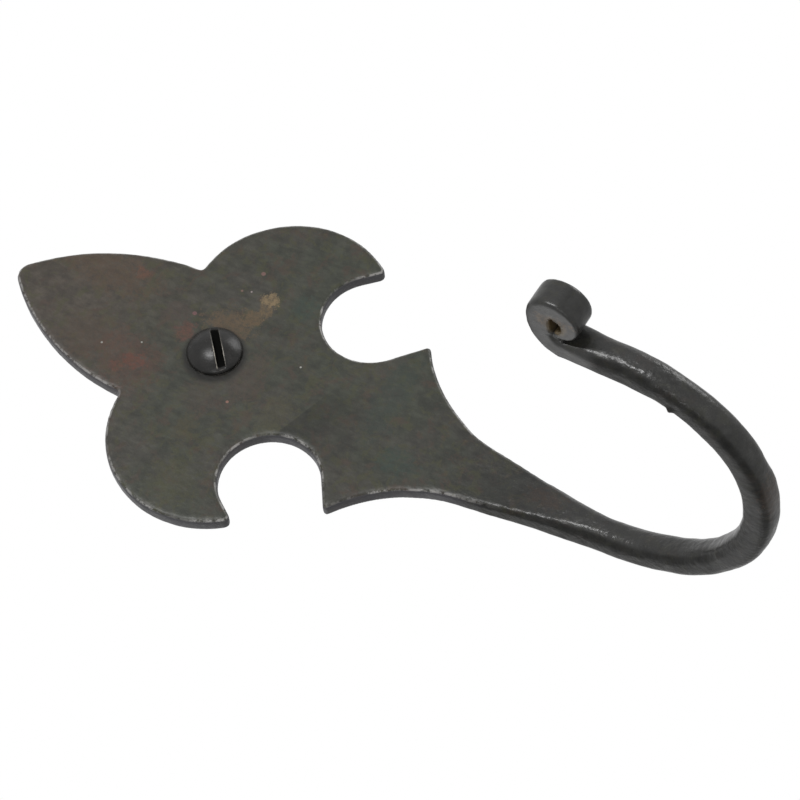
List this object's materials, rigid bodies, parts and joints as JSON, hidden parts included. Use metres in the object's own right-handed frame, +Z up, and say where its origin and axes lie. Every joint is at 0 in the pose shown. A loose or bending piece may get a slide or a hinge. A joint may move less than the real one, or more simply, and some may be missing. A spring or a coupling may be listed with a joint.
{
  "type": "coat hook",
  "caption": "Hand-forged wall coat hook: flat fleur-de-lis plate, tail drawn out into a bar bent up into a hook, rolled scroll end, and the slotted wood screw that holds it.",
  "frame": {"origin": "centre of the screw hole on the plate's back face, in the plane of the wall", "axes": "+Z up the wall along the plate, +Y into the wall, -Y out of the wall, +X to the right of someone facing it"},
  "size_m": [0.0605, 0.0939, 0.1394],
  "materials": {
    "forged_steel": "waxed black oxide over hammered steel, dark olive grey, satin",
    "screw_steel": "blackened steel, satin, bright at the slot's edges"
  },
  "bodies": {
    "root": {"hook": "forged_steel", "screw": "screw_steel"}
  },
  "joints": []
}
